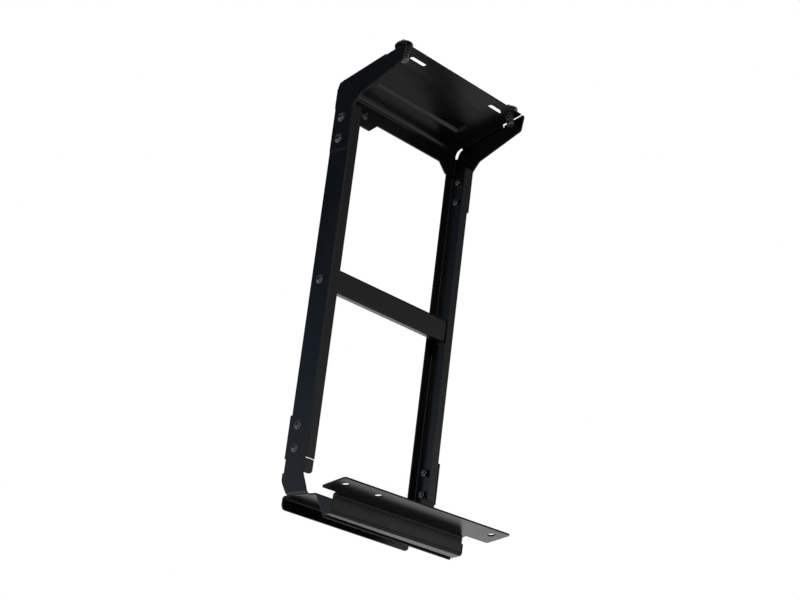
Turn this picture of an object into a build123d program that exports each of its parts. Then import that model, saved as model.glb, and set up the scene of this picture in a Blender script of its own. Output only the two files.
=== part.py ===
from build123d import *
import math
import os

# Side ladder for a vehicle: two folded channels, a hood that carries the top tread, a rung, a bottom step and
# a sill bracket. Every piece is bent from sheet steel.
# The ladder is drawn in its own directions first: X across, Y away from the vehicle, Z up along the stiles,
# with X = 0 midway between the stiles and Y = 0 on their face toward the vehicle. At the end it is leaned
# to its place, with the sill bracket's flange level and the origin on that flange's upper face.

# Overall sizes, mm and degrees
LADDER_WIDTH = 325.0        # over the outer faces of the two stiles
LEAN = 11.0                 # the stiles lean toward the vehicle by this much when the sill flange is level
TREAD_ANGLE = 16.0          # slope of the top tread against a line square to the stiles

# Stiles: channels, open toward each other
STILE_DEPTH = 50.0
STILE_FLANGE = 20.0
STILE_WALL = 2.5
STILE_BEND = 2.0            # inside bend radius
STILE_BOTTOM = 20.0
STILE_LENGTH = 644.0

# Bolts through the stiles
BOLT_HOLE = 8.5
BOLT_LINE = 26.5            # from the stile's face toward the vehicle
CHEEK_BOLTS = (62.5, 21.0)  # below the stile's top end
RUNG_BOLT = 317.5           # above the stile's bottom end
EAR_BOLTS = (17.0, 56.5)    # above the stile's bottom end

# Cheeks: side plates of the hood. Heights are from the stile's top end, reaches from the stile's face.
CHEEK_WALL = 3.0
CHEEK_TAB_LENGTH = 85.0     # how far the cheek laps down over the stile
CHEEK_NEAR = 1.5
CHEEK_BACK = 45.0
CHEEK_NOSE = 114.0
CHEEK_NOSE_FOOT = (-108.3, 59.5)
CHEEK_THROAT = (-13.1, 17.0)
CHEEK_THROAT_FOOT = -2.0
CHEEK_TOP_START = 34.0
CHEEK_TOP_RISE = 55.5       # height of the top flange's outer face at its rear end
CHEEK_FLANGE_WIDTH = 18.0
CHEEK_FLANGE_END = -62.0
CHEEK_NOTCH_WIDTH = 5.0     # bend relief at the front end of the top flange
CHEEK_NOTCH_DEPTH = 8.7
CHEEK_EDGE_DEPTH = 5.0      # the plain edge in front of the notch, square below the top flange's face
CHEEK_REAR_TOP = 39.0
CHEEK_REAR_GAP = 1.0        # between the stile's end and the cheek's rear flange
LEFT_CORNER = ((45.0, 41.5), (42.0, 50.0), (34.5, 52.0))
RIGHT_CORNER = ((43.0, 33.0), (38.8, 45.5), (31.0, 51.8))

# Hood: top tread and rear apron in one sheet. Distances along the tread are from the top edge's rear end.
HOOD_WALL = 3.0
HOOD_GAP = 0.3              # to the cheeks' flanges
HOOD_END_GAP = 5.5          # from the hood's ends to the cheeks
HOOD_REAR_BEND = 15.0
HOOD_REAR_FACE = 46.0
HOOD_APRON_RISE = 10.0      # the apron's lower edge above the stile's top end
HOOD_TAB_DROP = 7.5         # its end tabs reach below the stile's top end
HOOD_LEFT_TAB = 80.4
HOOD_RIGHT_TAB = 22.3
HOOD_TAB_CHAMFER = 19.0
HOOD_TAB_BOLT = (63.0, 16.0)    # from the hood's left end, and above the stile's top end
HOOD_FOLD = 107.0
HOOD_FOLD_ANGLE = 2.0       # the band in front of the fold slopes this much less
HOOD_REACH = 149.3
SLOT_LENGTH = 40.0
SLOT_WIDTH = 9.0
SLOT_CENTRE = 128.0
SLOT_INSET = 48.5           # from the hood's ends to the middles of the two slots

# Rib pressed up across the tread
RIB_CENTRE = 45.5
RIB_WIDTH = 28.2            # on the underside
RIB_LEFT_INSET = 39.0       # from the hood's ends
RIB_RIGHT_INSET = 44.0
RIB_RISE = 5.0
RIB_CORNER = 7.0
RIB_WALL_ANGLE = 45.0

# Bolts that stand at the front corners of the tread. Heights are from the tread's upper face.
RACK_BOLT_INSET = 10.0      # from the hood's ends
RACK_BOLT_PLACE = 130.0     # along the tread
RACK_BOLT = 8.0
RACK_BOLT_HOLE = 9.0
RACK_BOLT_TOP = 24.0
NUT_FLATS = 13.0
NUT_HEIGHT = 6.5
JAM_NUT_HEIGHT = 4.5
LOCK_NUT_HEIGHT = 8.0
LOCK_NUT_COLLAR = 2.0
LOCK_NUT_COLLAR_DIAMETER = 12.0
HEAD_HEIGHT = 6.0
HEAD_BELOW_NUT = 3.0
SMALL_WASHER = (17.0, 1.6)
LARGE_WASHER = (32.5, 2.0)
WASHER_CLEARANCE = 0.2

# Rung
RUNG_HEIGHT = 42.0
RUNG_FLANGE = 14.0
RUNG_WALL = 2.5
RUNG_BEND = 2.0
RUNG_TAB_DEPTH = 38.0
RUNG_TAB_HEIGHT = 34.0

# Bottom step: ears, deck, rear lip and sloping front apron
STEP_WALL = 3.0
STEP_BEND = 3.0
STEP_INSET = 5.5            # from the stile's outer face to the end of the deck and the lip
STEP_UNDERSIDE = -45.5
STEP_REAR = 49.0
LIP_BOTTOM = -65.7
LIP_CORNER = 9.0
APRON_START = -33.4         # where the apron's front face passes the deck's underside
APRON_ANGLE = 31.0          # from the stiles' direction
APRON_PROUD = 1.8           # how far its lower edge stands below the sill bracket's strip
EAR_NEAR = 1.0
EAR_BACK = 48.0
EAR_TOP = 94.0
EAR_BULGE = -20.0           # height where the ear's rear edge turns in
EAR_FOOT = (-17.0, 31.5)    # where the ear's edges meet the deck
EAR_TAB_LOW = -6.0
EAR_TAB_GAP = 1.5           # between the stile's end and the ear's tabs
EAR_TAB_CORNER = 8.0

# Sill bracket, set a little askew so that its right end is nearer the vehicle
SILL_SKEW = 1.2
SILL_WALL = 3.0
SILL_BEND = 3.0
SILL_INSET = 6.0            # from the stile's outer face to the ends of the web and the strip
SILL_WEB_FACE = -74.5
SILL_WEB_BOTTOM = -77.8
SILL_CREASE = -46.7         # height where the web's face meets the flange's underside
SILL_FLANGE_REACH = 62.4
SILL_FLANGE_BACK = 8.5      # rear edge of the flange's ends, in front of the web's face
SILL_FLANGE_CORNER = 4.5
SILL_FLANGE_LEFT = -194.5
SILL_FLANGE_RIGHT = 211.5
SILL_HOLE = 14.0
SILL_HOLE_LINE = 42.0       # from the web's face, along the flange
SILL_HOLES = (-172.5, -97.5, 184.0)
WELD_GAP = 0.2              # between the strip, the end plates and the apron
END_PLATE_REAR_TOP = 0.8    # below the deck's underside
END_PLATE_FRONT_TOP = 11.5

HALF = LADDER_WIDTH / 2
STILE_TOP = STILE_BOTTOM + STILE_LENGTH
HOOD_HALF = HALF - HOOD_END_GAP
RACK_BOLT_X = HOOD_HALF - RACK_BOLT_INSET
SIN_LEAN, COS_LEAN = math.sin(math.radians(LEAN)), math.cos(math.radians(LEAN))
SIN_TREAD, COS_TREAD = math.sin(math.radians(TREAD_ANGLE)), math.cos(math.radians(TREAD_ANGLE))
BAND_ANGLE = math.radians(TREAD_ANGLE - HOOD_FOLD_ANGLE)
THROUGH = 10.0              # how far a cutting tool passes a sheet's faces
PARTS = {}


def sheet_profile(points, wall, inside_radius):
    """Face of a folded sheet: one side follows the points, the other lies a wall to their left, or right if negative."""
    corners = [Vector(*p) for p in points]
    runs = [(b - a).normalized() for a, b in zip(corners, corners[1:])]
    normals = [Vector(-r.Y, r.X) for r in runs]
    other = [corners[0] + normals[0] * wall]
    near_radii, far_radii = [], []
    for corner, n1, n2, r1, r2 in zip(corners[1:], normals, normals[1:], runs, runs[1:]):
        half = (n1 + n2).normalized()
        other.append(corner + half * (wall / half.dot(n1)))
        turns_left = r1.X * r2.Y - r1.Y * r2.X > 0
        points_outside = turns_left == (wall > 0)
        near_radii.append(inside_radius + abs(wall) if points_outside else inside_radius)
        far_radii.append(inside_radius if points_outside else inside_radius + abs(wall))
    other.append(corners[-1] + normals[-1] * wall)
    near = FilletPolyline(*corners, radius=near_radii)
    far = FilletPolyline(*other, radius=far_radii)
    return make_face([near, Line(corners[-1], other[-1]), far, Line(other[0], corners[0])])


def across(face, x_from, x_to):
    """Extrude a section drawn in (Y, Z) along X."""
    return extrude(Plane.YZ.offset(x_from) * face, amount=x_to - x_from)


def rearward(face, y_from, y_to):
    """Extrude a section drawn in (X, Z) along Y."""
    return extrude(Plane.XZ.offset(-y_from) * face, amount=y_from - y_to)


def side_plate(outline, x_from, x_to):
    """A flat plate across X from an outline drawn in (Y, Z)."""
    return across(make_face(outline), x_from, x_to)


def hole_across(y, z, diameter, x_from, x_to):
    return across(Pos(y, z) * Circle(diameter / 2), x_from, x_to)


def tread_line(y, depth=0.0):
    """Height at y of a line along the tread, a depth square below the outer face of the cheeks' top flanges."""
    return STILE_TOP + CHEEK_TOP_RISE - depth / COS_TREAD - SIN_TREAD / COS_TREAD * (y - CHEEK_TOP_START)


def tread_plane(distance, angle):
    """Plane on the hood's upper face at a distance along the tread, its Y axis pointing to the rear."""
    y = CHEEK_TOP_START - distance * COS_TREAD
    return Plane(origin=(0, y, tread_line(y, CHEEK_WALL + HOOD_GAP)), x_dir=(1, 0, 0),
                 z_dir=(0, math.sin(angle), math.cos(angle)))


FRONT_BAND = tread_plane(HOOD_FOLD, BAND_ANGLE)


def apron_face(z):
    """Reach of the front face of the step's apron at a height."""
    return APRON_START + math.tan(math.radians(APRON_ANGLE)) * (z - STEP_UNDERSIDE)


def strip_height(y):
    """Height of the underside of the sill bracket's strip, midway along it."""
    return SILL_WEB_BOTTOM - SIN_LEAN / COS_LEAN * (y - SILL_WEB_FACE)


def apron_foot():
    """Height where the apron's front face meets the strip's underside."""
    slope, rake = SIN_LEAN / COS_LEAN, math.tan(math.radians(APRON_ANGLE))
    start = APRON_START - rake * STEP_UNDERSIDE
    return (SILL_WEB_BOTTOM - slope * (start - SILL_WEB_FACE)) / (1 + slope * rake)


def stile():
    """Right stile; the left one is its mirror image."""
    section = sheet_profile(
        [(HALF - STILE_FLANGE, 0), (HALF, 0), (HALF, STILE_DEPTH), (HALF - STILE_FLANGE, STILE_DEPTH)],
        STILE_WALL, STILE_BEND)
    body = extrude(Pos(0, 0, STILE_BOTTOM) * section, amount=STILE_LENGTH)
    heights = [STILE_BOTTOM + z for z in (*EAR_BOLTS, RUNG_BOLT)] + [STILE_TOP - z for z in CHEEK_BOLTS]
    for z in heights:
        body -= hole_across(BOLT_LINE, z, BOLT_HOLE, HALF - 2 * STILE_WALL, HALF + 1)
    return body


def cheek(corner):
    """Left cheek with the given points of its rear upper corner; the right one is drawn the same and mirrored."""
    outer, inner = -HALF - CHEEK_WALL, -HALF
    corner = [(y, STILE_TOP + rise) for y, rise in corner]
    tab_end = STILE_TOP - CHEEK_TAB_LENGTH
    nose_foot, throat = [(y, STILE_TOP + rise) for y, rise in (CHEEK_NOSE_FOOT, CHEEK_THROAT)]
    notch_end = CHEEK_FLANGE_END - CHEEK_NOTCH_WIDTH
    outline = FilletPolyline(
        (CHEEK_NEAR, tab_end), (CHEEK_BACK, tab_end), *corner,
        (CHEEK_TOP_START, tread_line(CHEEK_TOP_START, 1.0)), (-CHEEK_NOSE, tread_line(-CHEEK_NOSE, 1.0)),
        nose_foot, throat, (CHEEK_NEAR, STILE_TOP + CHEEK_THROAT_FOOT),
        radius=[2, 2, 3, 4, 1, 0.3, 8, 6, 12, 10], close=True)
    body = side_plate(outline, outer, inner)
    edge = Polyline(
        (CHEEK_FLANGE_END, tread_line(CHEEK_FLANGE_END)),
        (CHEEK_FLANGE_END, tread_line(CHEEK_FLANGE_END, CHEEK_NOTCH_DEPTH)),
        (notch_end, tread_line(notch_end, CHEEK_NOTCH_DEPTH)), (notch_end, tread_line(notch_end, CHEEK_EDGE_DEPTH)),
        (-CHEEK_NOSE - THROUGH, tread_line(-CHEEK_NOSE - THROUGH, CHEEK_EDGE_DEPTH)),
        (-CHEEK_NOSE - THROUGH, tread_line(-CHEEK_NOSE - THROUGH)), close=True)
    body -= side_plate(edge, outer - 1, inner + 1)
    top = sheet_profile(
        [(outer, -2 * CHEEK_WALL), (outer, 0), (inner + CHEEK_FLANGE_WIDTH, 0)], -CHEEK_WALL, CHEEK_WALL / 2)
    flange_length = (CHEEK_TOP_START - CHEEK_FLANGE_END) / COS_TREAD
    tread = Plane(origin=(0, CHEEK_TOP_START, tread_line(CHEEK_TOP_START)), x_dir=(1, 0, 0),
                  z_dir=(0, -COS_TREAD, SIN_TREAD))
    corner_block = side_plate(Polyline(
        (CHEEK_TOP_START, tread_line(CHEEK_TOP_START)), (CHEEK_FLANGE_END, tread_line(CHEEK_FLANGE_END)),
        (CHEEK_FLANGE_END, tread_line(CHEEK_FLANGE_END, 2 * CHEEK_WALL)),
        (CHEEK_TOP_START, tread_line(CHEEK_TOP_START, 2 * CHEEK_WALL)), close=True), outer, inner)
    body = body - corner_block + extrude(tread * top, amount=flange_length)
    rear_low, rear_high = STILE_TOP + CHEEK_REAR_GAP, STILE_TOP + CHEEK_REAR_TOP
    face = HOOD_REAR_FACE + HOOD_GAP
    rear = sheet_profile(
        [(inner + CHEEK_FLANGE_WIDTH, face + CHEEK_WALL), (outer, face + CHEEK_WALL), (outer, CHEEK_BACK - 2)],
        CHEEK_WALL, CHEEK_WALL / 2)
    body += extrude(Pos(0, 0, rear_low) * rear, amount=min(rear_high, corner[0][1]) - rear_low)
    for z in CHEEK_BOLTS:
        body -= hole_across(BOLT_LINE, STILE_TOP - z, BOLT_HOLE, outer - 1, inner + 1)
    return body


def hood():
    front_run = HOOD_REACH - HOOD_FOLD
    fold = FRONT_BAND.origin
    low = STILE_TOP - HOOD_TAB_DROP
    section = sheet_profile(
        [(HOOD_REAR_FACE, low), (HOOD_REAR_FACE, tread_line(HOOD_REAR_FACE, CHEEK_WALL + HOOD_GAP)),
         (fold.Y, fold.Z),
         (fold.Y - front_run * math.cos(BAND_ANGLE), fold.Z + front_run * math.sin(BAND_ANGLE))],
        HOOD_WALL, HOOD_REAR_BEND)
    body = across(section, -HOOD_HALF, HOOD_HALF)
    high = STILE_TOP + HOOD_APRON_RISE
    left, right = -HOOD_HALF + HOOD_LEFT_TAB, HOOD_HALF - HOOD_RIGHT_TAB
    between_tabs = make_face(Polyline(
        (left, low - THROUGH), (left, low), (left + HOOD_TAB_CHAMFER, high), (right - HOOD_TAB_CHAMFER, high),
        (right, low), (right, low - THROUGH), close=True))
    body -= rearward(between_tabs, HOOD_REAR_FACE - THROUGH, HOOD_REAR_FACE + THROUGH)
    bolt_x, bolt_rise = HOOD_TAB_BOLT
    tab_hole = Pos(-HOOD_HALF + bolt_x, STILE_TOP + bolt_rise) * Circle(BOLT_HOLE / 2)
    body -= rearward(tab_hole, HOOD_REAR_FACE - THROUGH, HOOD_REAR_FACE + THROUGH)
    tread = tread_plane(RIB_CENTRE, math.radians(TREAD_ANGLE))
    grown = 2 * HOOD_WALL * (math.sqrt(2) - 1)
    length = 2 * HOOD_HALF - RIB_LEFT_INSET - RIB_RIGHT_INSET
    shift = (RIB_LEFT_INSET - RIB_RIGHT_INSET) / 2
    crest = RectangleRounded(length + grown, RIB_WIDTH + grown, RIB_CORNER + grown / 2)
    hollow = RectangleRounded(length, RIB_WIDTH, RIB_CORNER)
    body += extrude(tread * Pos(shift, 0, 0) * crest, amount=RIB_RISE, taper=RIB_WALL_ANGLE)
    body -= extrude(tread * Pos(shift, 0, -HOOD_WALL) * hollow, amount=RIB_RISE, taper=RIB_WALL_ANGLE)
    for side in (-1, 1):
        slot_x = side * (HOOD_HALF - SLOT_INSET)
        slot = Pos(slot_x, HOOD_FOLD - SLOT_CENTRE) * SlotOverall(SLOT_LENGTH, SLOT_WIDTH)
        hole = Pos(side * RACK_BOLT_X, HOOD_FOLD - RACK_BOLT_PLACE) * Circle(RACK_BOLT_HOLE / 2)
        body -= extrude(FRONT_BAND * slot, amount=THROUGH, both=True)
        body -= extrude(FRONT_BAND * hole, amount=THROUGH, both=True)
    return body


def on_rack_bolt(section, low, height):
    """Extrude a section along the left rack bolt's line, from a height above the tread's upper face."""
    place = Pos(-RACK_BOLT_X, HOOD_FOLD - RACK_BOLT_PLACE, low)
    return extrude(FRONT_BAND * place * section, amount=height)


def rack_bolt():
    hexagon = RegularPolygon(NUT_FLATS / 2, 6, major_radius=False)
    washer_diameter, washer_height = SMALL_WASHER
    stack_top = NUT_HEIGHT + JAM_NUT_HEIGHT
    nut_low = stack_top + LARGE_WASHER[1]
    below = -HOOD_WALL - washer_height
    head_low = below - NUT_HEIGHT - HEAD_BELOW_NUT - HEAD_HEIGHT
    body = on_rack_bolt(Circle(RACK_BOLT / 2), head_low, RACK_BOLT_TOP - head_low)
    body += on_rack_bolt(hexagon, 0, stack_top)
    body += on_rack_bolt(hexagon, nut_low, LOCK_NUT_HEIGHT - LOCK_NUT_COLLAR)
    body += on_rack_bolt(Circle(LOCK_NUT_COLLAR_DIAMETER / 2), nut_low, LOCK_NUT_HEIGHT)
    body += on_rack_bolt(Circle(washer_diameter / 2), below, washer_height)
    body += on_rack_bolt(hexagon, below - NUT_HEIGHT, NUT_HEIGHT)
    body += on_rack_bolt(hexagon, head_low, HEAD_HEIGHT)
    return body


def rack_washer():
    diameter, height = LARGE_WASHER
    ring = Circle(diameter / 2) - Circle(RACK_BOLT / 2 + WASHER_CLEARANCE)
    return on_rack_bolt(ring, NUT_HEIGHT + JAM_NUT_HEIGHT, height)


def rung():
    middle = STILE_BOTTOM + RUNG_BOLT
    low, high = middle - RUNG_HEIGHT / 2, middle + RUNG_HEIGHT / 2
    face = STILE_WALL
    half = HALF - STILE_WALL
    section = sheet_profile(
        [(face + RUNG_FLANGE, low), (face, low), (face, high), (face + RUNG_FLANGE, high)], -RUNG_WALL, RUNG_BEND)
    straight = half - RUNG_WALL - RUNG_BEND
    body = across(section, -straight, straight)
    end = sheet_profile(
        [(straight - RUNG_FLANGE, face), (half, face), (half, face + RUNG_TAB_DEPTH)], RUNG_WALL, RUNG_BEND)
    tab = extrude(Pos(0, 0, middle - RUNG_TAB_HEIGHT / 2) * end, amount=RUNG_TAB_HEIGHT)
    tab -= hole_across(BOLT_LINE, middle, BOLT_HOLE, half - 2 * RUNG_WALL, half + 1)
    body += [tab, mirror(tab, about=Plane.YZ)]
    return body


def ear():
    """Left ear: folded up from the deck, lapped on the outside of the stile, with tabs wrapped under its end."""
    outer, inner = -HALF - STEP_WALL, -HALF
    deck = STEP_UNDERSIDE
    foot_front, foot_rear = EAR_FOOT
    fold = sheet_profile([(-HALF + 2 * STEP_INSET, deck), (outer, deck), (outer, EAR_TOP)], -STEP_WALL, STEP_BEND)
    outline = FilletPolyline(
        (EAR_NEAR, EAR_TOP), (EAR_BACK, EAR_TOP), (EAR_BACK, EAR_BULGE), (foot_rear, deck), (foot_front, deck),
        (EAR_NEAR, EAR_TAB_LOW), radius=[2, 2, 20, 6, 0.5, 3], close=True)
    plate = rearward(fold, foot_front, EAR_BACK) & side_plate(outline, outer, 0)
    tab_top = STILE_BOTTOM - EAR_TAB_GAP
    wrapped = Polyline((-THROUGH, EAR_TAB_LOW), (STILE_DEPTH + THROUGH, EAR_TAB_LOW),
                       (STILE_DEPTH + THROUGH, tab_top), (-THROUGH, tab_top), close=True)
    plate -= side_plate(wrapped, outer - 1, inner + 1)
    for z in EAR_BOLTS:
        plate -= hole_across(BOLT_LINE, STILE_BOTTOM + z, BOLT_HOLE, outer - 1, inner + 1)
    tab_end = inner + STILE_FLANGE
    wrap = sheet_profile([(tab_end, EAR_NEAR), (outer, EAR_NEAR), (outer, EAR_BACK), (tab_end, EAR_BACK)],
                         -STEP_WALL, STILE_BEND)
    wrap = extrude(Pos(0, 0, EAR_TAB_LOW) * wrap, amount=tab_top - EAR_TAB_LOW)
    corners = [e for e in wrap.edges().filter_by(Axis.Y)
               if abs(e.center().X - tab_end) < 0.01 and abs(e.center().Z - EAR_TAB_LOW) < 0.01]
    return plate + fillet(corners, EAR_TAB_CORNER)


def step():
    deck_top = STEP_UNDERSIDE + STEP_WALL
    foot = apron_foot() - APRON_PROUD
    half = HALF - STEP_INSET
    section = sheet_profile(
        [(STEP_REAR, LIP_BOTTOM), (STEP_REAR, deck_top), (apron_face(deck_top), deck_top), (apron_face(foot), foot)],
        STEP_WALL, STEP_BEND)
    body = across(section, -half, half)
    corners = [e for e in body.edges().filter_by(Axis.Y) if abs(e.center().Z - LIP_BOTTOM) < 0.01]
    body = fillet(corners, LIP_CORNER)
    left = ear()
    return body + [left, mirror(left, about=Plane.YZ)]


def sill_bracket():
    face, wall = SILL_WEB_FACE, SILL_WALL
    strip_end = apron_face(strip_height(face)) + THROUGH
    straight = SILL_FLANGE_REACH - SILL_FLANGE_CORNER
    section = sheet_profile(
        [(strip_end, strip_height(strip_end)), (face, SILL_WEB_BOTTOM), (face, SILL_CREASE),
         (face - straight * COS_LEAN, SILL_CREASE + straight * SIN_LEAN)], -wall, SILL_BEND)
    body = across(section, -HALF + SILL_INSET, HALF - SILL_INSET)
    level = Plane(origin=(0, face, SILL_CREASE), x_dir=(1, 0, 0), z_dir=(0, SIN_LEAN, COS_LEAN))
    flange = RectangleRounded(SILL_FLANGE_RIGHT - SILL_FLANGE_LEFT, SILL_FLANGE_REACH - SILL_FLANGE_BACK,
                              SILL_FLANGE_CORNER)
    middle = Pos((SILL_FLANGE_LEFT + SILL_FLANGE_RIGHT) / 2, -(SILL_FLANGE_REACH + SILL_FLANGE_BACK) / 2)
    body += extrude(level * middle * flange, amount=wall)
    for x in SILL_HOLES:
        body -= extrude(level * Pos(x, -SILL_HOLE_LINE) * Circle(SILL_HOLE / 2), amount=THROUGH, both=True)
    pivot = level * Pos(0, -SILL_HOLE_LINE, 0)
    body = body.rotate(Axis(pivot.position, (0, SIN_LEAN, COS_LEAN)), -SILL_SKEW)
    low, high = SILL_WEB_BOTTOM - 2 * THROUGH, SILL_WEB_BOTTOM + 2 * THROUGH
    behind_apron = Polyline(
        (apron_face(low) - WELD_GAP, low), (apron_face(high) - WELD_GAP, high), (0, high), (0, low), close=True)
    return body - side_plate(behind_apron, -HALF, HALF)


def end_plate(side):
    """Plate that closes the end between the bracket's web, its strip and the apron; side is -1 or 1."""
    skew = math.radians(SILL_SKEW)
    pivot = SILL_WEB_FACE - SILL_HOLE_LINE * COS_LEAN
    outermost = apron_face(apron_foot()) if side > 0 else SILL_WEB_FACE
    inner = side * (HALF - SILL_INSET + WELD_GAP) + (outermost - pivot) * math.sin(skew)
    front = SILL_WEB_FACE - inner * math.tan(skew)
    rise = inner * math.sin(skew) * SIN_LEAN
    rear_top = STEP_UNDERSIDE - END_PLATE_REAR_TOP
    rear_low = apron_foot() + rise
    outline = FilletPolyline(
        (apron_face(rear_top) - WELD_GAP, rear_top), (front, STEP_UNDERSIDE - END_PLATE_FRONT_TOP),
        (front, strip_height(SILL_WEB_FACE) + rise), (apron_face(rear_low) - WELD_GAP, rear_low),
        radius=[1, 2, SILL_BEND + SILL_WALL, 1], close=True)
    return side_plate(outline, inner, inner + side * SILL_WALL)


PARTS["left_stile"] = mirror(stile(), about=Plane.YZ)
PARTS["right_stile"] = stile()
PARTS["left_cheek"] = cheek(LEFT_CORNER)
PARTS["right_cheek"] = mirror(cheek(RIGHT_CORNER), about=Plane.YZ)
PARTS["hood"] = hood()
PARTS["left_rack_bolt"] = rack_bolt()
PARTS["right_rack_bolt"] = mirror(rack_bolt(), about=Plane.YZ)
PARTS["left_rack_washer"] = rack_washer()
PARTS["right_rack_washer"] = mirror(rack_washer(), about=Plane.YZ)
PARTS["rung"] = rung()
PARTS["step"] = step()
PARTS["sill_bracket"] = sill_bracket()
PARTS["left_end_plate"] = end_plate(-1)
PARTS["right_end_plate"] = end_plate(1)

# The origin: on the flange's upper face, on the line of holes
mount_y = SILL_WEB_FACE - SILL_HOLE_LINE * COS_LEAN + SILL_WALL * SIN_LEAN
mount_z = SILL_CREASE + SILL_HOLE_LINE * SIN_LEAN + SILL_WALL * COS_LEAN
placed = Rot(LEAN, 0, 0) * Pos(0, -mount_y, -mount_z)
os.makedirs("parts", exist_ok=True)
for name, piece in PARTS.items():
    export_step(placed * piece, f"parts/{name}.step")
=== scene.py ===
# %% [markdown]
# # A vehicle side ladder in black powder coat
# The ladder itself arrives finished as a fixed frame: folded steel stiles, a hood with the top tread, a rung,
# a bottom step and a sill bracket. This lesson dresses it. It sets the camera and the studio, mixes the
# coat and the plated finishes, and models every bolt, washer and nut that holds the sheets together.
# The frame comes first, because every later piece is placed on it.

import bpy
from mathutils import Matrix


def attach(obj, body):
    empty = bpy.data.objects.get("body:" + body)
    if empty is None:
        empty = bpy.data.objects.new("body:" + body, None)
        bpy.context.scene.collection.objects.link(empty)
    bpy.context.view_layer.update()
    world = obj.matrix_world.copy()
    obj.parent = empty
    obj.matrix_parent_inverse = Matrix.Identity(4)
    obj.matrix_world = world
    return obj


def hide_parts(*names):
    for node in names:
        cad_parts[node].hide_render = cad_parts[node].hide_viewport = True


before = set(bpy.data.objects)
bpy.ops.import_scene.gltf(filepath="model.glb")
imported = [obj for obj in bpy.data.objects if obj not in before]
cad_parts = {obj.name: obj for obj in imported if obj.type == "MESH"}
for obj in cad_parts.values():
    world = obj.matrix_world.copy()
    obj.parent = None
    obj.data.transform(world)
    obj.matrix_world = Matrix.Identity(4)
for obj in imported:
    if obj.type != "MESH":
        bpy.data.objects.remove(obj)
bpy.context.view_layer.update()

# %% [markdown]
# ## The ladder's own directions
# A maker measures a ladder across, away from the vehicle and along the stiles, in millimetres. The frame is
# in metres, with the sill flange level, so the ladder leans in it. Places could be typed in the frame's own
# directions, but then no number would match a maker's drawing. So one small function turns a place on the
# ladder into a place in the frame, and every fastener below uses it.

# %% From the ladder to the frame
import math

import bpy
from mathutils import Matrix, Vector

MM = 0.001
LEAN = math.radians(11.0)
HALF_WIDTH = 162.5          # from the ladder's middle to a stile's outer face
STILE_FOOT = 20.0           # height of the stiles' lower ends
SILL_WEB_FACE = -74.5       # the sill bracket's web, its upper crease, and the line of holes in its flange
SILL_CREASE = -46.7
SILL_HOLE_LINE = 42.0
SILL_WALL = 3.0
MOUNT = Vector((0.0,
                SILL_WEB_FACE - SILL_HOLE_LINE * math.cos(LEAN) + SILL_WALL * math.sin(LEAN),
                SILL_CREASE + SILL_HOLE_LINE * math.sin(LEAN) + SILL_WALL * math.cos(LEAN)))
LEAN_BACK = Matrix.Rotation(LEAN, 4, "X")


def on_ladder(across, rearward, along):
    """Place in the frame, in metres, of a point given on the ladder in millimetres."""
    return LEAN_BACK @ ((Vector((across, rearward, along)) - MOUNT) * MM)


print("lower end of the left stile:", tuple(round(v, 4) for v in on_ladder(-HALF_WIDTH, 0, STILE_FOOT)))

# %% [markdown]
# ## The camera
# The photograph looks up at the ladder from below and from its left, with a long lens, so upright edges
# stay nearly parallel. A camera placed by eye leaves such edges many pixels off, so its place and its two
# directions were solved from the ladder's parallel edges.

# %% Camera
LENS = 81.92
SENSOR = 36.0
VIEW_DEPTH = 60.0
CAMERA_PLACE = Vector((-2.1635, -1.8657, -1.0375))
CAMERA_LOOKS = Vector((0.6733, 0.58957, 0.4463)).normalized()
CAMERA_DOWN = Vector((0.3169, 0.31529, -0.89458))

camera_data = bpy.data.cameras.new("camera")
camera_data.lens = LENS
camera_data.sensor_width = SENSOR
camera_data.clip_end = VIEW_DEPTH
camera = bpy.data.objects.new("camera", camera_data)
bpy.context.scene.collection.objects.link(camera)
side = CAMERA_DOWN.cross(CAMERA_LOOKS).normalized()
upward = side.cross(CAMERA_LOOKS).normalized()
aim = Matrix((side, upward, -CAMERA_LOOKS)).transposed().to_4x4()
camera.matrix_world = Matrix.Translation(CAMERA_PLACE) @ aim
bpy.context.scene.camera = camera
bpy.context.scene.view_settings.view_transform = "Standard"
print("camera looks up by", round(math.degrees(math.asin(CAMERA_LOOKS.z)), 1), "degrees")

# %% [markdown]
# ## The studio
# Black gloss shows its surroundings more than its own colour. Steep faces mirror what is level with them, and
# the undersides mirror the pale floor and the light just below the horizon, which is why those are the
# lightest planes in the photograph. Lamps alone would leave hard-edged patches, so the world is a soft
# gradient by height: palest just below the horizon, cool above it and dark overhead. Behind the ladder it is
# brighter than in front, where only a low grey band is left for the rung to mirror. The camera alone sees
# plain white: if the gloss mirrored that too, every folded plane would turn the same pale grey.

# %% Tool: shader nodes
def new_node(tree, kind, **values):
    """Add a shader node and set its properties, and its inputs where a value's name is an input's."""
    node = tree.nodes.new(kind)
    for name, value in values.items():
        if name in node.inputs:
            node.inputs[name].default_value = value
        else:
            setattr(node, name, value)
    return node


def new_range(tree, low, high, to_low=0.0, to_high=1.0):
    """A Map Range node: one span of values turned into another."""
    node = new_node(tree, "ShaderNodeMapRange")
    for label, value in (("From Min", low), ("From Max", high), ("To Min", to_low), ("To Max", to_high)):
        node.inputs[label].default_value = value
    return node


print("tools: new_node, new_range")

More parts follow.
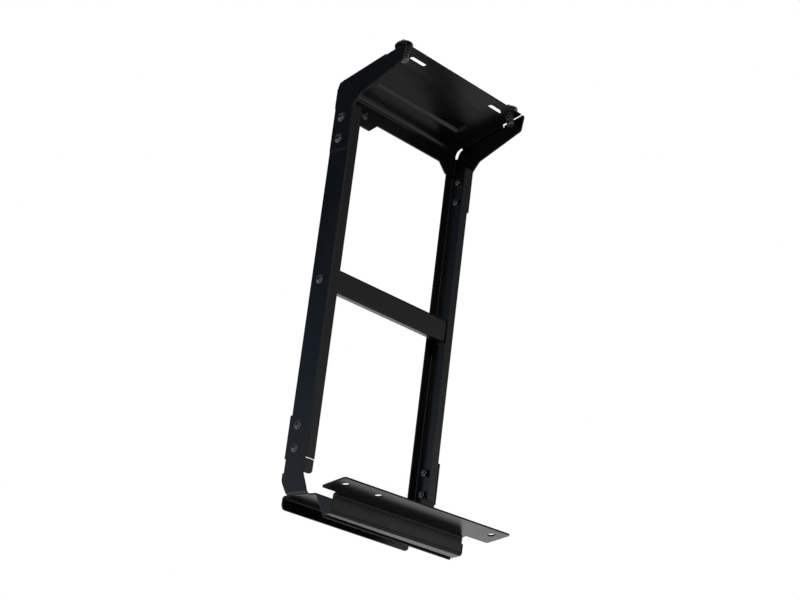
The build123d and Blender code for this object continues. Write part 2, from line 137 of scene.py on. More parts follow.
# %% World: the two gradients
# Each stop is the height of a direction, from -1 straight down to 1 straight up, and the light from there.
BEHIND = (
    (-1.00, (0.30, 0.30, 0.30)), (-0.63, (0.30, 0.30, 0.30)), (-0.48, (0.55, 0.55, 0.55)),
    (-0.34, (1.42, 1.42, 1.42)), (-0.20, (1.10, 1.10, 1.10)), (0.05, (0.50, 0.52, 0.55)),
    (0.33, (0.58, 0.64, 0.73)), (0.36, (0.14, 0.23, 0.37)), (0.41, (0.10, 0.18, 0.29)),
    (0.46, (0.050, 0.085, 0.14)), (0.52, (0.008, 0.014, 0.022)), (0.62, (0.02, 0.02, 0.02)),
    (0.80, (0.22, 0.22, 0.22)), (1.00, (0.22, 0.22, 0.22)))
FRONT = (
    (-1.00, (0.30, 0.30, 0.30)), (-0.62, (0.85, 0.85, 0.85)), (-0.44, (0.80, 0.80, 0.80)),
    (-0.30, (0.10, 0.10, 0.10)), (-0.10, (0.10, 0.10, 0.10)), (0.00, (0.62, 0.62, 0.62)),
    (0.09, (0.57, 0.57, 0.56)), (0.17, (0.25, 0.25, 0.25)), (0.24, (0.19, 0.19, 0.19)),
    (0.40, (0.12, 0.12, 0.12)), (0.60, (0.10, 0.10, 0.10)), (0.80, (0.22, 0.22, 0.22)),
    (1.00, (0.22, 0.22, 0.22)))
SIDE_BLEND = 0.35       # how far each side's light reaches past the ladder's own plane

world = bpy.data.worlds.new("studio")
world.use_nodes = True
bpy.context.scene.world = world
tree = world.node_tree
tree.nodes.clear()
direction = new_node(tree, "ShaderNodeTexCoord")
part_of = new_node(tree, "ShaderNodeSeparateXYZ")
level = new_range(tree, -1.0, 1.0)
facing = new_range(tree, -SIDE_BLEND, SIDE_BLEND)
both_sides = new_node(tree, "ShaderNodeMix", data_type="RGBA")
tree.links.new(direction.outputs["Generated"], part_of.inputs[0])
tree.links.new(part_of.outputs["Z"], level.inputs["Value"])
tree.links.new(part_of.outputs["Y"], facing.inputs["Value"])
tree.links.new(facing.outputs["Result"], both_sides.inputs["Factor"])
for socket, stops in (("A", FRONT), ("B", BEHIND)):
    ramp = new_node(tree, "ShaderNodeValToRGB")
    for index, (stop, colour) in enumerate(stops):
        place = (stop + 1) / 2
        elements = ramp.color_ramp.elements
        element = elements[index] if index < 2 else elements.new(place)
        element.position = place
        element.color = (*colour, 1.0)
    tree.links.new(level.outputs["Result"], ramp.inputs["Fac"])
    tree.links.new(ramp.outputs["Color"], both_sides.inputs[socket])
print("world stops:", len(BEHIND), "behind and", len(FRONT), "in front")

# %% World: what the camera sees instead
WHITE = (1.0, 1.0, 1.0, 1.0)

gradient = new_node(tree, "ShaderNodeBackground")
white = new_node(tree, "ShaderNodeBackground", Color=WHITE, Strength=1.0)
seen = new_node(tree, "ShaderNodeLightPath")
choice = new_node(tree, "ShaderNodeMixShader")
output = new_node(tree, "ShaderNodeOutputWorld")
tree.links.new(both_sides.outputs["Result"], gradient.inputs["Color"])
tree.links.new(seen.outputs["Is Camera Ray"], choice.inputs["Fac"])
tree.links.new(gradient.outputs[0], choice.inputs[1])
tree.links.new(white.outputs[0], choice.inputs[2])
tree.links.new(choice.outputs[0], output.inputs["Surface"])
print("world nodes:", len(tree.nodes))

# %% [markdown]
# ## The floor
# The ladder hangs on a vehicle's side and never stands on anything, so the floor lies well below it. It could
# be a plane that reaches to the horizon, but a disc leaves the world's brightest band open, which the
# undersides need. The camera sees it a little lighter than the lamps make it, so that it stays pale from
# every side without more light on the ladder.

# %% Floor
FLOOR_HEIGHT = -1.45
FLOOR_RADIUS = 3.0
FLOOR_SIDES = 96
FLOOR_COLOUR = (0.80, 0.80, 0.79, 1.0)
FLOOR_ROUGHNESS = 0.9
FLOOR_LIFT = 0.62        # what the camera alone sees on top of the floor's own light, so that it looks pale

bpy.ops.object.select_all(action="DESELECT")
bpy.ops.mesh.primitive_circle_add(vertices=FLOOR_SIDES, radius=FLOOR_RADIUS, fill_type="NGON",
                                  location=(0, 0, FLOOR_HEIGHT))
floor = bpy.context.object
floor.name = "floor"
floor_paint = bpy.data.materials.new("pale_floor")
floor_paint.use_nodes = True
tree = floor_paint.node_tree
floor_shader = tree.nodes["Principled BSDF"]
floor_shader.inputs["Base Color"].default_value = FLOOR_COLOUR
floor_shader.inputs["Roughness"].default_value = FLOOR_ROUGHNESS
paint_output = tree.nodes["Material Output"]
to_camera = new_node(tree, "ShaderNodeLightPath")
paleness = new_node(tree, "ShaderNodeEmission", Color=(FLOOR_LIFT, FLOOR_LIFT, FLOOR_LIFT, 1.0))
lifted = new_node(tree, "ShaderNodeAddShader")
shown = new_node(tree, "ShaderNodeMixShader")
tree.links.new(floor_shader.outputs[0], lifted.inputs[0])
tree.links.new(paleness.outputs[0], lifted.inputs[1])
tree.links.new(to_camera.outputs["Is Camera Ray"], shown.inputs["Fac"])
tree.links.new(floor_shader.outputs[0], shown.inputs[1])
tree.links.new(lifted.outputs[0], shown.inputs[2])
tree.links.new(shown.outputs[0], paint_output.inputs["Surface"])
floor.data.materials.append(floor_paint)
print("floor at", FLOOR_HEIGHT)

# %% [markdown]
# ## The softboxes
# The world alone gives no highlights, and the bolt heads need one each. A point lamp would leave a hard dot,
# so four square softboxes do it: a large dim one overhead, one from behind on the right, a small one in front
# on the left, and one that looks down and brightens the floor, whose light the sill bracket's folds then show.

# %% Lights
# Each softbox is a square, given by its place, what it points at, its side in metres, and its brightness,
# which is what a mirror would show of it.
SOFTBOXES = {
    "overhead": ((0.2, -0.6, 3.0), (0.0, 0.0, 0.4), 1.8, 0.7),
    "side_fill": ((3.0, 1.2, 2.2), (0.0, 0.0, 0.3), 1.6, 0.5),
    "left_front": ((-2.2, -2.2, 1.1), (0.0, 0.0, 0.35), 0.9, 0.9),
    "floor_glow": ((1.9, -0.8, -0.4), (1.9, -0.8, FLOOR_HEIGHT), 1.0, 1.6),
}
for name, (spot, target, size, brightness) in SOFTBOXES.items():
    lamp = bpy.data.lights.new(name, "AREA")
    lamp.size = size
    lamp.energy = brightness * math.pi * size * size
    holder = bpy.data.objects.new(name, lamp)
    bpy.context.scene.collection.objects.link(holder)
    holder.location = spot
    holder.rotation_mode = "QUATERNION"
    holder.rotation_quaternion = (Vector(target) - Vector(spot)).to_track_quat("-Z", "Y")
    holder.visible_camera = False
print("softboxes:", ", ".join(SOFTBOXES))

# %% [markdown]
# ## Effects that several finishes share
# Powder coat is sprayed on dry and melts into a film, so it flows out into a faint orange peel and rounds
# every cut edge, where it is thinner and catches the light. The lighter colour on sharp edges stands partly
# for wear there and partly for a painted highlight. Plated parts are painted darker in their corners, partly
# for dirt and partly as painted shade.
# Painting this by hand would need a picture for each piece, so each effect is a node group, built once: one
# gives the film's relief and cloudiness, one a mask that is 1 on sharp edges, and one a mask that is 0 in
# crevices.

# %% Group: film
def new_group(name, sockets):
    """A shader node group with named sockets: (name, direction, kind, start value)."""
    group = bpy.data.node_groups.new(name, "ShaderNodeTree")
    for label, way, kind, start in sockets:
        socket = group.interface.new_socket(name=label, in_out=way, socket_type=kind)
        if start is not None:
            socket.default_value = start
    return group, group.nodes.new("NodeGroupInput"), group.nodes.new("NodeGroupOutput")


SPECK_SHARE = 0.25        # how much the fine specks add to the orange peel's relief

film, film_in, film_out = new_group("film", [
    ("Peel Scale", "INPUT", "NodeSocketFloat", 420.0),
    ("Speck Scale", "INPUT", "NodeSocketFloat", 1600.0),
    ("Cloud Scale", "INPUT", "NodeSocketFloat", 9.0),
    ("Relief", "OUTPUT", "NodeSocketFloat", None),
    ("Cloud", "OUTPUT", "NodeSocketFloat", None)])
where = new_node(film, "ShaderNodeTexCoord")
peel = new_node(film, "ShaderNodeTexNoise", Detail=2.0, Roughness=0.45)
speck = new_node(film, "ShaderNodeTexNoise", Detail=1.0, Roughness=0.5)
cloud = new_node(film, "ShaderNodeTexNoise", Detail=4.0, Roughness=0.6)
weigh = new_node(film, "ShaderNodeMath", operation="MULTIPLY_ADD")
weigh.inputs[1].default_value = SPECK_SHARE
for noise, scale in ((peel, "Peel Scale"), (speck, "Speck Scale"), (cloud, "Cloud Scale")):
    film.links.new(where.outputs["Object"], noise.inputs["Vector"])
    film.links.new(film_in.outputs[scale], noise.inputs["Scale"])
film.links.new(speck.outputs["Fac"], weigh.inputs[0])
film.links.new(peel.outputs["Fac"], weigh.inputs[2])
film.links.new(weigh.outputs[0], film_out.inputs["Relief"])
film.links.new(cloud.outputs["Fac"], film_out.inputs["Cloud"])
print("group film:", len(film.nodes), "nodes")

# %% Group: edges
FLAT_TO_EDGE = (0.995, 0.86)      # how well the true and the rounded normal agree, off an edge and on it
EDGE_PATCHES = (0.35, 0.60)       # noise below the first leaves an edge its own colour, above the second gives it the lighter edge colour

# This mask sets where the lighter edge colour goes: partly wear, partly a painted highlight on rims and bends.
edges, edges_in, edges_out = new_group("edges", [
    ("Radius", "INPUT", "NodeSocketFloat", 0.0010),
    ("Break Scale", "INPUT", "NodeSocketFloat", 60.0),
    ("Edge", "OUTPUT", "NodeSocketFloat", None),
    ("Rounded Normal", "OUTPUT", "NodeSocketVector", None)])
rounded = new_node(edges, "ShaderNodeBevel", samples=6)
surface = new_node(edges, "ShaderNodeNewGeometry")
agree = new_node(edges, "ShaderNodeVectorMath", operation="DOT_PRODUCT")
bend = new_range(edges, *FLAT_TO_EDGE)
spots = new_node(edges, "ShaderNodeTexNoise", Detail=3.0, Roughness=0.65)
place_on = new_node(edges, "ShaderNodeTexCoord")
broken = new_range(edges, *EDGE_PATCHES)
both = new_node(edges, "ShaderNodeMath", operation="MULTIPLY")
edges.links.new(edges_in.outputs["Radius"], rounded.inputs["Radius"])
edges.links.new(rounded.outputs["Normal"], agree.inputs[0])
edges.links.new(surface.outputs["True Normal"], agree.inputs[1])
edges.links.new(agree.outputs["Value"], bend.inputs["Value"])
edges.links.new(place_on.outputs["Object"], spots.inputs["Vector"])
edges.links.new(edges_in.outputs["Break Scale"], spots.inputs["Scale"])
edges.links.new(spots.outputs["Fac"], broken.inputs["Value"])
edges.links.new(bend.outputs["Result"], both.inputs[0])
edges.links.new(broken.outputs["Result"], both.inputs[1])
edges.links.new(both.outputs[0], edges_out.inputs["Edge"])
edges.links.new(rounded.outputs["Normal"], edges_out.inputs["Rounded Normal"])
print("group edges:", len(edges.nodes), "nodes")

# %% Group: crevice
CREVICE_TO_OPEN = (0.40, 0.92)     # share of open sky over a point, in a full crevice and out of it

# This mask darkens crevices and sockets: partly dirt, partly painted shade.
crevice, crevice_in, crevice_out = new_group("crevice", [
    ("Reach", "INPUT", "NodeSocketFloat", 0.005),
    ("Open", "OUTPUT", "NodeSocketFloat", None)])
around = new_node(crevice, "ShaderNodeAmbientOcclusion", samples=8)
opened = new_range(crevice, *CREVICE_TO_OPEN)
crevice.links.new(crevice_in.outputs["Reach"], around.inputs["Distance"])
crevice.links.new(around.outputs["AO"], opened.inputs["Value"])
crevice.links.new(opened.outputs["Result"], crevice_out.inputs["Open"])
print("group crevice:", len(crevice.nodes), "nodes")

# %% [markdown]
# ## The finishes
# All four finishes are one recipe with different numbers: a colour that drifts a little, a lighter colour for
# the edges that is partly wear and partly painted highlight, a roughness that drifts with the same cloud, and
# the film's relief. A single function mixes it, so the differences between coat, oxide, zinc and nylon stand
# in one small table. Only the coat goes without the crevice mask, which paints dirt and shade dark, because
# the coat is already as dark as that.

# %% Finishes
FINISHES = {
    # name: colour, cloudy colour, edge colour (partly wear, partly painted highlight), metallic, roughness low
    # and high, relief in metres, IOR
    "black_powder_coat": ((0.0022, 0.0024, 0.0027), (0.0034, 0.0036, 0.0040), (0.009, 0.0092, 0.010),
                          0.0, 0.21, 0.28, 0.000012, 1.5),
    "black_oxide": ((0.10, 0.103, 0.11), (0.14, 0.142, 0.15), (0.42, 0.42, 0.43),
                    1.0, 0.18, 0.28, 0.000006, 1.5),
    "zinc_plate": ((0.24, 0.25, 0.27), (0.31, 0.31, 0.32), (0.55, 0.55, 0.55),
                   1.0, 0.12, 0.22, 0.000006, 1.5),
    "nylon": ((0.32, 0.36, 0.42), (0.38, 0.42, 0.47), (0.46, 0.50, 0.55),
              0.0, 0.38, 0.50, 0.000010, 1.5),
}
CREVICE_DIRT_AND_SHADE = (0.006, 0.006, 0.006, 1.0)       # the dark colour in a crevice: partly dirt, partly painted shade
DRIFT = (0.3, 0.7)                       # the span of the cloud over which the roughness changes


def mix_finish(name):
    """The material of a finish, mixed from its row of the table."""
    colour, cloudy, edge_wear_and_highlight, metallic, smooth, rough, relief, ior = FINISHES[name]
    material = bpy.data.materials.new(name)
    material.use_nodes = True
    nodes = material.node_tree
    link = nodes.links.new
    shader = nodes.nodes["Principled BSDF"]
    shader.inputs["Metallic"].default_value = metallic
    shader.inputs["IOR"].default_value = ior
    film_here = new_node(nodes, "ShaderNodeGroup", node_tree=film)
    edges_here = new_node(nodes, "ShaderNodeGroup", node_tree=edges)
    drift = new_node(nodes, "ShaderNodeMix", data_type="RGBA")
    drift.inputs["A"].default_value = (*colour, 1.0)
    drift.inputs["B"].default_value = (*cloudy, 1.0)
    # the lighter edge colour along sharp edges: partly wear, partly a painted highlight
    wear_and_highlight_mix = new_node(nodes, "ShaderNodeMix", data_type="RGBA")
    wear_and_highlight_mix.inputs["B"].default_value = (*edge_wear_and_highlight, 1.0)
    gloss = new_range(nodes, *DRIFT, smooth, rough)
    bump = new_node(nodes, "ShaderNodeBump", Distance=relief)
    link(film_here.outputs["Cloud"], drift.inputs["Factor"])
    link(drift.outputs["Result"], wear_and_highlight_mix.inputs["A"])
    link(edges_here.outputs["Edge"], wear_and_highlight_mix.inputs["Factor"])
    if name == "black_powder_coat":
        link(wear_and_highlight_mix.outputs["Result"], shader.inputs["Base Color"])
    else:
        # crevices are painted dark: partly dirt, partly painted shade
        dirt_and_shade_mix = new_node(nodes, "ShaderNodeMix", data_type="RGBA")
        dirt_and_shade_mix.inputs["A"].default_value = CREVICE_DIRT_AND_SHADE
        crevice_here = new_node(nodes, "ShaderNodeGroup", node_tree=crevice)
        link(crevice_here.outputs["Open"], dirt_and_shade_mix.inputs["Factor"])
        link(wear_and_highlight_mix.outputs["Result"], dirt_and_shade_mix.inputs["B"])
        link(dirt_and_shade_mix.outputs["Result"], shader.inputs["Base Color"])
    link(film_here.outputs["Cloud"], gloss.inputs["Value"])
    link(gloss.outputs["Result"], shader.inputs["Roughness"])
    link(film_here.outputs["Relief"], bump.inputs["Height"])
    link(edges_here.outputs["Rounded Normal"], bump.inputs["Normal"])
    link(bump.outputs["Normal"], shader.inputs["Normal"])
    return material


finish = {name: mix_finish(name) for name in FINISHES}
for name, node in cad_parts.items():
    chosen = finish["zinc_plate" if "_rack_" in name else "black_powder_coat"]
    for slot in node.material_slots:
        slot.material = chosen
print("finishes:", ", ".join(finish))

# %% [markdown]
# ## Drawing a fastener
# Every bolt, nut and washer is turned or hexagonal, so three small tools draw them all. The first starts a
# disc and extrudes it from ring to ring, as a lathe would see the profile; with six sides it draws a hexagon.
# The second cuts one solid with another. The third makes a real thread: one edge profile, swept round while
# it rises by a pitch, then closed and trimmed to a chamfered rod. A subdivision cage would round the hexagons'
# crisp corners away, and a lathe alone has no way to make a hexagon, so solids and cuts suit hardware better.
# The profiles are in millimetres, as on a workshop drawing.

# %% Tools: turned solids and cuts
def choose(piece):
    """Make one piece the only selected and active one."""
    bpy.ops.object.select_all(action="DESELECT")
    piece.select_set(True)
    bpy.context.view_layer.objects.active = piece


def turned(sides, profile):
    """A closed solid about the Z axis, extruded ring by ring from a profile of (radius, height) in mm."""
    bpy.ops.object.select_all(action="DESELECT")
    radius, level = profile[0]
    bpy.ops.mesh.primitive_circle_add(vertices=sides, radius=radius * MM, fill_type="NGON",
                                      location=(0, 0, level * MM))
    bpy.ops.object.mode_set(mode="EDIT")
    bpy.ops.mesh.select_all(action="SELECT")
    for next_radius, next_level in profile[1:]:
        bpy.ops.mesh.extrude_region_move(TRANSFORM_OT_translate={"value": (0, 0, (next_level - level) * MM)})
        ratio = next_radius / radius
        bpy.ops.transform.resize(value=(ratio, ratio, 1.0))
        radius, level = next_radius, next_level
    bpy.ops.mesh.select_all(action="SELECT")
    bpy.ops.mesh.normals_make_consistent(inside=False)
    bpy.ops.object.mode_set(mode="OBJECT")
    bpy.ops.object.transform_apply(location=True, rotation=True, scale=True)
    return bpy.context.object


def combine(piece, tool, operation):
    """Cut, join or trim a solid with another one, which is used up."""
    choose(piece)
    modifier = piece.modifiers.new("combine", "BOOLEAN")
    modifier.operation = operation
    modifier.solver = "EXACT"
    modifier.object = tool
    bpy.ops.object.modifier_apply(modifier=modifier.name)
    bpy.data.objects.remove(tool)
    return piece


print("tools: turned, combine")

# %% Tool: a real thread
THREAD_RADIUS = 4.0
THREAD_DEPTH = 0.62
PITCH = 1.25
THREAD_STEPS = 24
ROD_CHAMFER = 0.8
ROD_SIDES = 48
ROD_MARGIN = 0.02    # the trimming cylinder clears the thread's crests by this
OVERLAP = 0.3        # how far a cutting tool reaches past the solid that it cuts
SAMPLE_LENGTH = 10.0


def threaded_rod(length):
    """An M8 rod from height 0 down to -length, with a chamfer at its lower end."""
    bpy.ops.object.select_all(action="DESELECT")
    bpy.ops.mesh.primitive_plane_add(size=MM, location=(0, 0, 0))
    rod = bpy.context.object
    bpy.ops.object.mode_set(mode="EDIT")
    bpy.ops.mesh.select_all(action="SELECT")
    bpy.ops.mesh.merge(type="CENTER")
    bpy.ops.transform.translate(value=(0, 0, (-length - 2 * PITCH) * MM))
    steps = [(THREAD_RADIUS - THREAD_DEPTH, 0.0)]
    for turn in range(math.ceil(length / PITCH) + 2):
        steps += [(0.0, PITCH / 8), (THREAD_DEPTH, PITCH * 3 / 8),
                  (0.0, PITCH / 8), (-THREAD_DEPTH, PITCH * 3 / 8)]
    for outward, rise in steps:
        bpy.ops.mesh.extrude_region_move(TRANSFORM_OT_translate={"value": (outward * MM, 0, rise * MM)})
    bpy.ops.mesh.extrude_region_move(
        TRANSFORM_OT_translate={"value": ((THREAD_DEPTH - THREAD_RADIUS) * MM, 0, 0)})
    bpy.ops.object.mode_set(mode="OBJECT")
    sweep = rod.modifiers.new("sweep", "SCREW")
    sweep.screw_offset = PITCH * MM
    sweep.steps = sweep.render_steps = THREAD_STEPS
    sweep.use_smooth_shade = False
    bpy.ops.object.modifier_apply(modifier=sweep.name)
    bpy.ops.object.mode_set(mode="EDIT")
    bpy.ops.mesh.select_all(action="SELECT")
    bpy.ops.mesh.remove_doubles(threshold=0.001 * MM)
    bpy.ops.mesh.fill_holes(sides=0)
    bpy.ops.mesh.select_all(action="SELECT")
    bpy.ops.mesh.normals_make_consistent(inside=False)
    bpy.ops.object.mode_set(mode="OBJECT")
    blunt, full = THREAD_RADIUS - ROD_CHAMFER, THREAD_RADIUS + ROD_MARGIN
    trim = turned(ROD_SIDES, [(blunt, -length), (full, -length + ROD_CHAMFER), (full, 0.0)])
    return combine(rod, trim, "INTERSECT")


sample = threaded_rod(SAMPLE_LENGTH)
print("a thread of", SAMPLE_LENGTH, "mm:", len(sample.data.polygons), "faces")
bpy.data.objects.remove(sample)

# %% [markdown]
# ## Nuts and washers
# A hexagon nut is a bar cut off, then turned at both ends, which leaves the curved lines where the cone meets
# each flat. A bevel would chamfer the flats' edges instead and miss those lines, so a six-sided solid is
# trimmed by a turned barrel. A lock nut is the same nut with a collar, which holds a ring of nylon.

# %% Nut and its bore
FLATS = 13.0
CORNER = FLATS / math.sqrt(3)
CHAMFER_FOOT = 0.475 * FLATS         # radius where the chamfer's cone meets the nut's end face
NUT_SLOPE = math.tan(math.radians(30.0))
BARREL_MARGIN = 0.1                  # the barrel clears the hexagon's corners by this
SINK_MARGIN = 0.25                   # the countersink is wider than the thread by this
HEXAGON, ROUND = 6, 64               # sides of a hexagonal and of a round solid


def hexagon(low, high):
    """A hexagonal bar with both ends chamfered, as on a nut."""
    bar = turned(HEXAGON, [(CORNER, low), (CORNER, high)])
    full = CORNER + BARREL_MARGIN
    drop = (full - CHAMFER_FOOT) * NUT_SLOPE
    tip = CHAMFER_FOOT - OVERLAP / NUT_SLOPE
    barrel = turned(ROUND, [(tip, low - OVERLAP), (full, low + drop),
                            (full, high - drop), (tip, high + OVERLAP)])
    return combine(bar, barrel, "INTERSECT")


def tapped(piece, low, high):
    """Bore a piece through for the thread, countersunk at both ends."""
    wide, bore = THREAD_RADIUS + SINK_MARGIN + OVERLAP, THREAD_RADIUS - THREAD_DEPTH / 2
    sink = wide - bore
    drill = turned(ROUND, [(wide, low - OVERLAP), (bore, low - OVERLAP + sink),
                           (bore, high + OVERLAP - sink), (wide, high + OVERLAP)])
    return combine(piece, drill, "DIFFERENCE")


print("nut corner to corner:", round(2 * CORNER, 2), "mm")

# %% Washer and lock nut
PUNCHED_EDGE = 0.2                   # the rounding that a punch leaves on a washer's rim
COLLAR_OVERLAP = 1.0                 # how far the collar starts inside the hexagon
COLLAR_RIM = [(6.0, 0.7), (5.6, 0.15), (5.3, 0.0)]       # radius, and depth under the collar's top
POCKET_RADIUS, POCKET_DEPTH = 5.0, 1.6


def washer(outside, hole, thickness):
    """A flat washer, with the rounded edge that punching leaves."""
    rim, flat = outside / 2, outside / 2 - PUNCHED_EDGE
    plate = turned(ROUND, [(flat, 0.0), (rim, PUNCHED_EDGE), (rim, thickness - PUNCHED_EDGE),
                           (flat, thickness)])
    punch = turned(ROUND, [(hole / 2, -OVERLAP), (hole / 2, thickness + OVERLAP)])
    return combine(plate, punch, "DIFFERENCE")


def lock_nut(hexagon_height, height):
    """A lock nut: a hexagon with a round collar, and a pocket in it for the nylon ring."""
    profile = [(COLLAR_RIM[0][0], hexagon_height - COLLAR_OVERLAP)]
    profile += [(radius, height - depth) for radius, depth in COLLAR_RIM]
    body = combine(hexagon(0.0, hexagon_height), turned(ROUND, profile), "UNION")
    pocket = turned(ROUND, [(POCKET_RADIUS, height - POCKET_DEPTH), (POCKET_RADIUS, height + OVERLAP)])
    return combine(tapped(body, 0.0, height), pocket, "DIFFERENCE")


print("lock nut's collar:", 2 * COLLAR_RIM[0][0], "mm across")

# %% [markdown]
# ## The two heads
# The button head is a shallow dome on a thin flange, with a hexagon socket sunk into it, a chamfer round its
# mouth and the drill's cone at its bottom. The rack bolts have plain hexagon heads with a shallow dish in the
# top, as forging leaves it. Both shanks are the threaded rod, joined on as one solid, so that no face is
# left inside.

# %% Button-head bolt
BUTTON_PROFILE = [(8.35, 0.0), (8.75, 0.3), (8.75, 0.95), (8.45, 1.2), (7.1, 1.35), (6.95, 1.9), (6.5, 2.7),
                  (5.7, 3.45), (4.7, 4.0), (3.6, 4.3), (3.0, 4.4)]
SOCKET_FLATS = 5.0
SOCKET_CORNER = SOCKET_FLATS / math.sqrt(3)
SOCKET_FLOOR = 1.8
MOUTH_CONE = [(-0.3, -0.5), (0.4, 0.2)]        # measured from the socket's corner and the head's top
DRILL_POINT = [(0.3, 0.9), (2.3, 1.7), (2.3, 2.4)]


def button_bolt(length):
    """A flanged button head over height 0, with its threaded shank under it."""
    head = turned(ROUND, BUTTON_PROFILE)
    top = BUTTON_PROFILE[-1][1]
    socket = turned(HEXAGON, [(SOCKET_CORNER, SOCKET_FLOOR), (SOCKET_CORNER, top + OVERLAP)])
    mouth = turned(ROUND, [(SOCKET_CORNER + wider, top + higher) for wider, higher in MOUTH_CONE])
    for tool in (socket, mouth, turned(ROUND, DRILL_POINT)):
        head = combine(head, tool, "DIFFERENCE")
    return combine(head, threaded_rod(length), "UNION")


print("socket corner to corner:", round(2 * SOCKET_CORNER, 2), "mm")

# %% Hexagon bolt
DISH_RADII, DISH_DEPTH = (5.2, 5.6), 0.25


def hexagon_bolt(length, head_height):
    """A hexagon head over height 0, with its threaded shank under it."""
    head = hexagon(0.0, head_height)
    dish = turned(ROUND, [(DISH_RADII[0], head_height - DISH_DEPTH), (DISH_RADII[1], head_height + OVERLAP)])
    head = combine(head, dish, "DIFFERENCE")
    return combine(head, threaded_rod(length), "UNION")


print("dish in the hexagon head:", DISH_DEPTH, "mm deep")

# %% [markdown]
# ## From the bench to the ladder
# A pattern is drawn upright at the origin, where its profile is easy to write. Each copy has its own mesh, and
# that mesh is moved, not the object, so every finished piece stays at the origin, unturned, as the frame's own
# pieces do. Its flats stay crisp and its threads round, because only shallow angles are shaded smooth.

# %% Putting a fastener in its place
SMOOTH_ANGLE = math.radians(32.0)


def put(pattern, name, spot, pointing, twist, look):
    """Copy a pattern to a spot on the ladder, its top pointing the given way, twisted about its own axis."""
    piece = pattern.copy()
    piece.data = pattern.data.copy()
    piece.name = name
    bpy.context.scene.collection.objects.link(piece)
    tilt = Vector((0, 0, 1)).rotation_difference(Vector(pointing)).to_matrix().to_4x4()
    there = Matrix.Translation(on_ladder(*spot)) @ LEAN_BACK @ tilt
    piece.data.transform(there @ Matrix.Rotation(math.radians(twist), 4, "Z"))
    piece.data.materials.clear()
    piece.data.materials.append(finish[look])
    choose(piece)
    bpy.ops.object.shade_smooth_by_angle(angle=SMOOTH_ANGLE)
    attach(piece, "root")
    return piece


print("tool: put, smooth under", round(math.degrees(SMOOTH_ANGLE)), "degrees")

# %% [markdown]
# ## The ten stile bolts
# Each stile is bolted twice to its cheek, once to the rung and twice to the step's ear, all on one line down
# the middle of its web. The low button heads stay outside, where nothing catches on them, and the nuts stand
# in the channel. The pattern of each part is drawn once and copied, each copy with its own mesh.

# %% Stile bolts
BOLT_LENGTH = 16.0
NUT_THICKNESS = 6.5
WASHER_SIZE = (16.0, 8.6, 1.6)      # outside, hole, thickness
BOLT_LINE = 26.5                    # from a stile's front flange to its line of bolts
STILE_WALL, RUNG_WALL, PLATE = 2.5, 2.5, 3.0
OVER_PLATE = (HALF_WIDTH + PLATE, HALF_WIDTH - STILE_WALL)
OVER_RUNG = (HALF_WIDTH, HALF_WIDTH - STILE_WALL - RUNG_WALL)
BOLTED = {       # height on the ladder, and how far the outer and inner faces are from its middle
    "cheek_upper": (643.0, *OVER_PLATE),
    "cheek_lower": (601.5, *OVER_PLATE),
    "rung": (337.5, *OVER_RUNG),
    "ear_upper": (76.5, *OVER_PLATE),
    "ear_lower": (37.0, *OVER_PLATE),
}
FIRST_TWIST, TWIST_STEP = 17, 23    # degrees: each head is tightened to another angle than the one below it
patterns = {"bolt": button_bolt(BOLT_LENGTH), "washer": washer(*WASHER_SIZE),
            "nut": tapped(hexagon(0.0, NUT_THICKNESS), 0.0, NUT_THICKNESS)}


def bolt_through(name, outer, inner, inward, twist):
    """Bolt two sheets: the head on the outer point, the washer and nut on the inner one."""
    outward = tuple(-part for part in inward)
    on_nut = tuple(place + part * WASHER_SIZE[2] for place, part in zip(inner, inward))
    put(patterns["bolt"], name + "_bolt", outer, outward, twist, "black_oxide")
    put(patterns["washer"], name + "_washer", inner, inward, twist, "black_oxide")
    put(patterns["nut"], name + "_nut", on_nut, inward, 2 * twist, "black_oxide")


for turn, (place_name, (height_up, outer, inner)) in enumerate(BOLTED.items()):
    for side_name, sign in (("left", -1), ("right", 1)):
        bolt_through(f"{side_name}_{place_name}", (sign * outer, BOLT_LINE, height_up),
                     (sign * inner, BOLT_LINE, height_up), (-sign, 0, 0),
                     FIRST_TWIST + TWIST_STEP * turn * sign)
print("bolts through the stiles:", 2 * len(BOLTED), "with", len(patterns["bolt"].data.polygons), "faces each")

# %% [markdown]
# ## The apron's bolt
# One more bolt of the same kind closes the hole in the left tab of the hood's apron. Its head is on the inner
# face, where the photograph looks up at it, and its nut behind the apron. The same patterns serve, and they
# are thrown away after it.

# %% Apron bolt
APRON_ACROSS, APRON_UP = -94.0, 680.0
APRON_INSIDE, APRON_OUTSIDE = 43.0, 46.0
APRON_TWIST = 8

apron_head = (APRON_ACROSS, APRON_INSIDE, APRON_UP)
bolt_through("apron", apron_head, (APRON_ACROSS, APRON_OUTSIDE, APRON_UP), (0, 1, 0), APRON_TWIST)
for pattern in patterns.values():
    bpy.data.objects.remove(pattern)
print("apron bolt at", tuple(round(v, 4) for v in on_ladder(*apron_head)))

# %% [markdown]
# ## The two rack bolts
# At each front corner of the hood a plated bolt stands up through the tread, locked to it from both sides by
# nuts and a washer, and holds a large washer with a lock nut above the tread. The frame brings a plain
# solid for it. The detailed one is drawn over the same heights and replaces it.

# %% Rack bolt patterns
TREAD_WALL = 3.0
HEAD_TOP, HEAD_SEAT, ROD_TOP = -20.1, -14.1, 24.0        # heights over the tread
LARGE_WASHER = (32.5, 8.6, 2.0)            # outside, hole, thickness
SMALL_WASHER = (17.0, 8.6, 1.6)
LOCK_HEXAGON, LOCK_HEIGHT = 6.0, 8.0
JAM_HEIGHT = 4.5
RING_THICKNESS, RING_LIFT = 0.9, 0.05      # the nylon ring lies this far over the pocket's floor

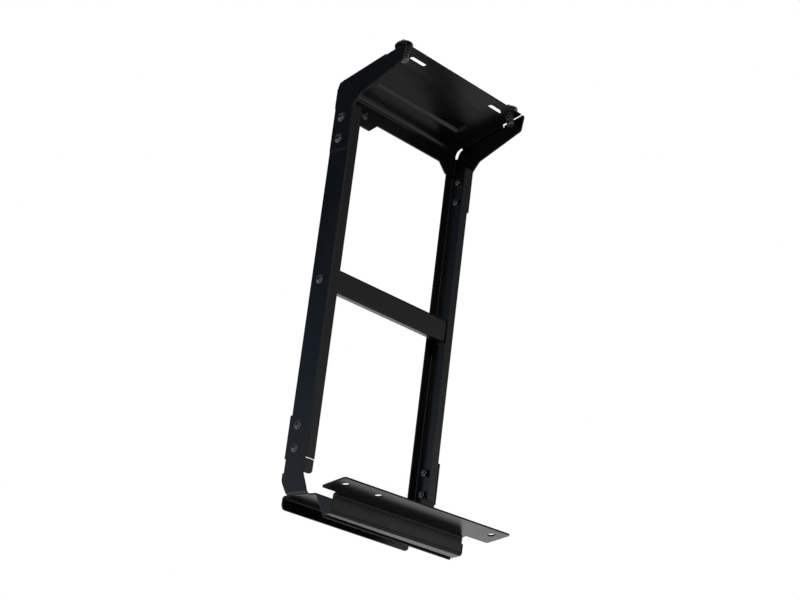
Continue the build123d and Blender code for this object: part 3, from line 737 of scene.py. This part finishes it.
under_tread = -TREAD_WALL - SMALL_WASHER[2]
on_jam_nut = NUT_THICKNESS + JAM_HEIGHT
on_large_washer = on_jam_nut + LARGE_WASHER[2]
in_pocket = on_large_washer + LOCK_HEIGHT - POCKET_DEPTH + RING_LIFT
full_nut = tapped(hexagon(0.0, NUT_THICKNESS), 0.0, NUT_THICKNESS)
jam_nut = tapped(hexagon(0.0, JAM_HEIGHT), 0.0, JAM_HEIGHT)
ring = washer(2 * POCKET_RADIUS, 2 * (THREAD_RADIUS - THREAD_DEPTH / 2), RING_THICKNESS)
STACK = (    # name, pattern, height of its foot over the tread, twist in degrees, finish
    ("bolt", hexagon_bolt(ROD_TOP - HEAD_SEAT, HEAD_SEAT - HEAD_TOP), HEAD_SEAT, 5, "zinc_plate"),
    ("lower_nut", full_nut, under_tread - NUT_THICKNESS, 22, "zinc_plate"),
    ("lower_washer", washer(*SMALL_WASHER), under_tread, 0, "zinc_plate"),
    ("upper_nut", full_nut, 0.0, -11, "zinc_plate"),
    ("jam_nut", jam_nut, NUT_THICKNESS, 14, "zinc_plate"),
    ("large_washer", washer(*LARGE_WASHER), on_jam_nut, 0, "zinc_plate"),
    ("lock_nut", lock_nut(LOCK_HEXAGON, LOCK_HEIGHT), on_large_washer, 9, "zinc_plate"),
    ("nylon_ring", ring, in_pocket, 0, "nylon"),
)
print("pieces in each rack bolt:", len(STACK), "from", HEAD_TOP, "to", ROD_TOP, "mm over the tread")

# %% Rack bolts
BAND_SLOPE = math.radians(14.0)
RACK_FOOT = (147.0, -91.17, 751.12)        # where a bolt's axis meets the tread's upper face
RACK_UP = (0.0, math.sin(BAND_SLOPE), math.cos(BAND_SLOPE))
REPLACED = {"bolt": "rack_bolt", "large_washer": "rack_washer"}

for side_name, sign in (("left", -1), ("right", 1)):
    for part, pattern, foot, twist, look in STACK:
        spot = (sign * RACK_FOOT[0], RACK_FOOT[1] + foot * RACK_UP[1], RACK_FOOT[2] + foot * RACK_UP[2])
        pointing = tuple(-v for v in RACK_UP) if part == "bolt" else RACK_UP
        piece = put(pattern, f"{side_name}_corner_{part}", spot, pointing, twist * sign, look)
        if part in REPLACED:
            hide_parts(f"{side_name}_{REPLACED[part]}")
for pattern in {entry[1].name for entry in STACK}:
    bpy.data.objects.remove(bpy.data.objects[pattern])
print("left rack bolt meets the tread at",
      tuple(round(v, 4) for v in on_ladder(-RACK_FOOT[0], *RACK_FOOT[1:])))
